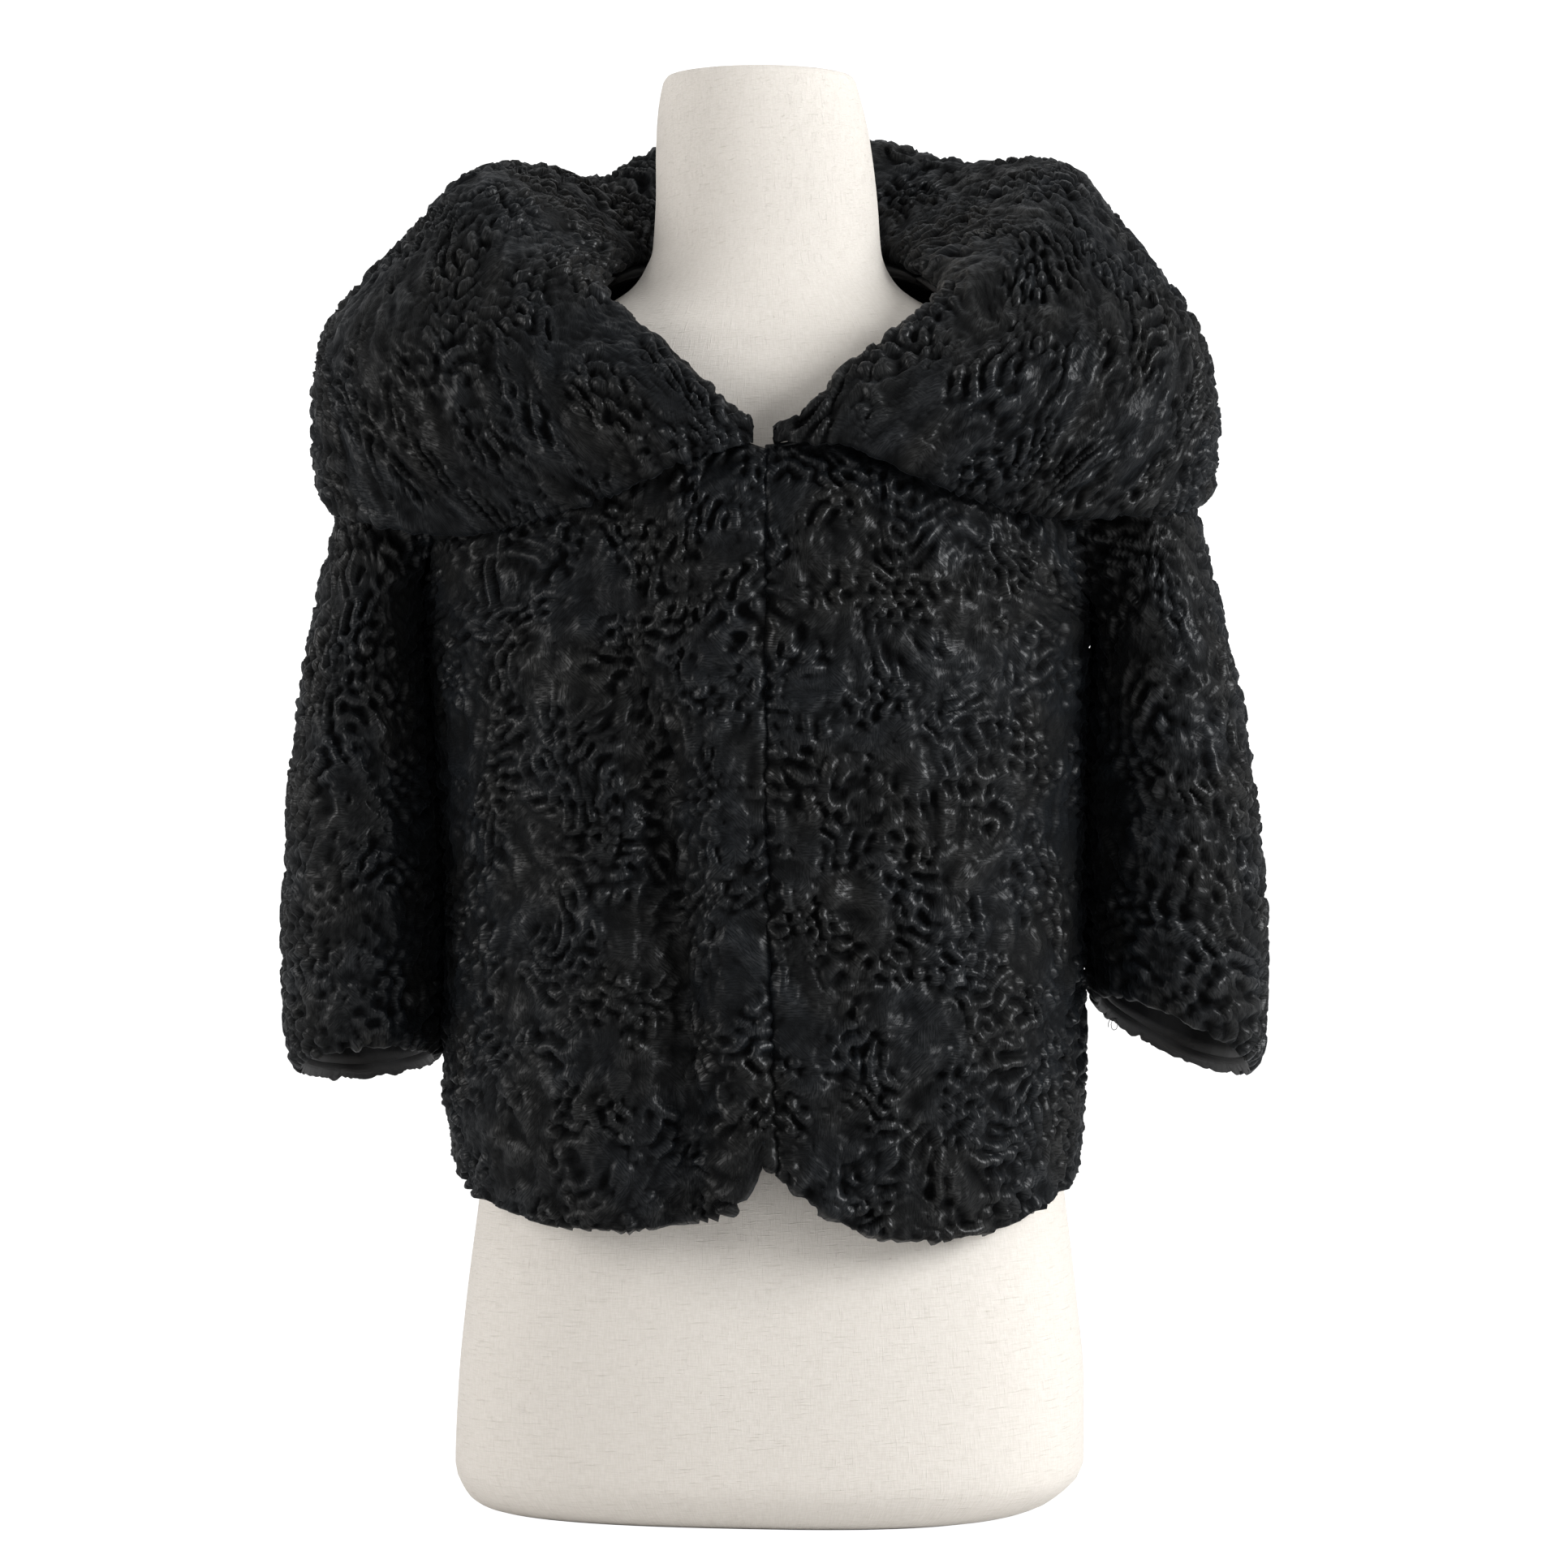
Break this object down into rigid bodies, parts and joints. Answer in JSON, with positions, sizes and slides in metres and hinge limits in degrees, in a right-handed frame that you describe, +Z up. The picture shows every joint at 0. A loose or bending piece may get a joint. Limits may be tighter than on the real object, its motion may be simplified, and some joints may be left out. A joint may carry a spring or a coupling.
{
  "type": "curly lamb fur jacket on a dress form",
  "caption": "Cropped black curly-lamb jacket with a wide rolled shawl collar and three-quarter bell sleeves, worn on a limbless canvas dress form.",
  "frame": {"origin": "middle of the dress form's flat base", "axes": "+Z up, the jacket's front toward -Y, the wearer's left toward +X"},
  "size_m": [0.5476, 0.3196, 0.797],
  "materials": {
    "fur": "glossy tight curls",
    "lining": "satin",
    "canvas": "matt woven"
  },
  "bodies": {
    "root": {"front_right": "fur", "front_left": "fur", "back": "fur", "sleeve_right": "fur", "sleeve_left": "fur", "collar_right": "fur", "collar_left": "fur", "sleeve_lining_right": "lining", "sleeve_lining_left": "lining", "dress_form": "canvas"}
  },
  "joints": []
}
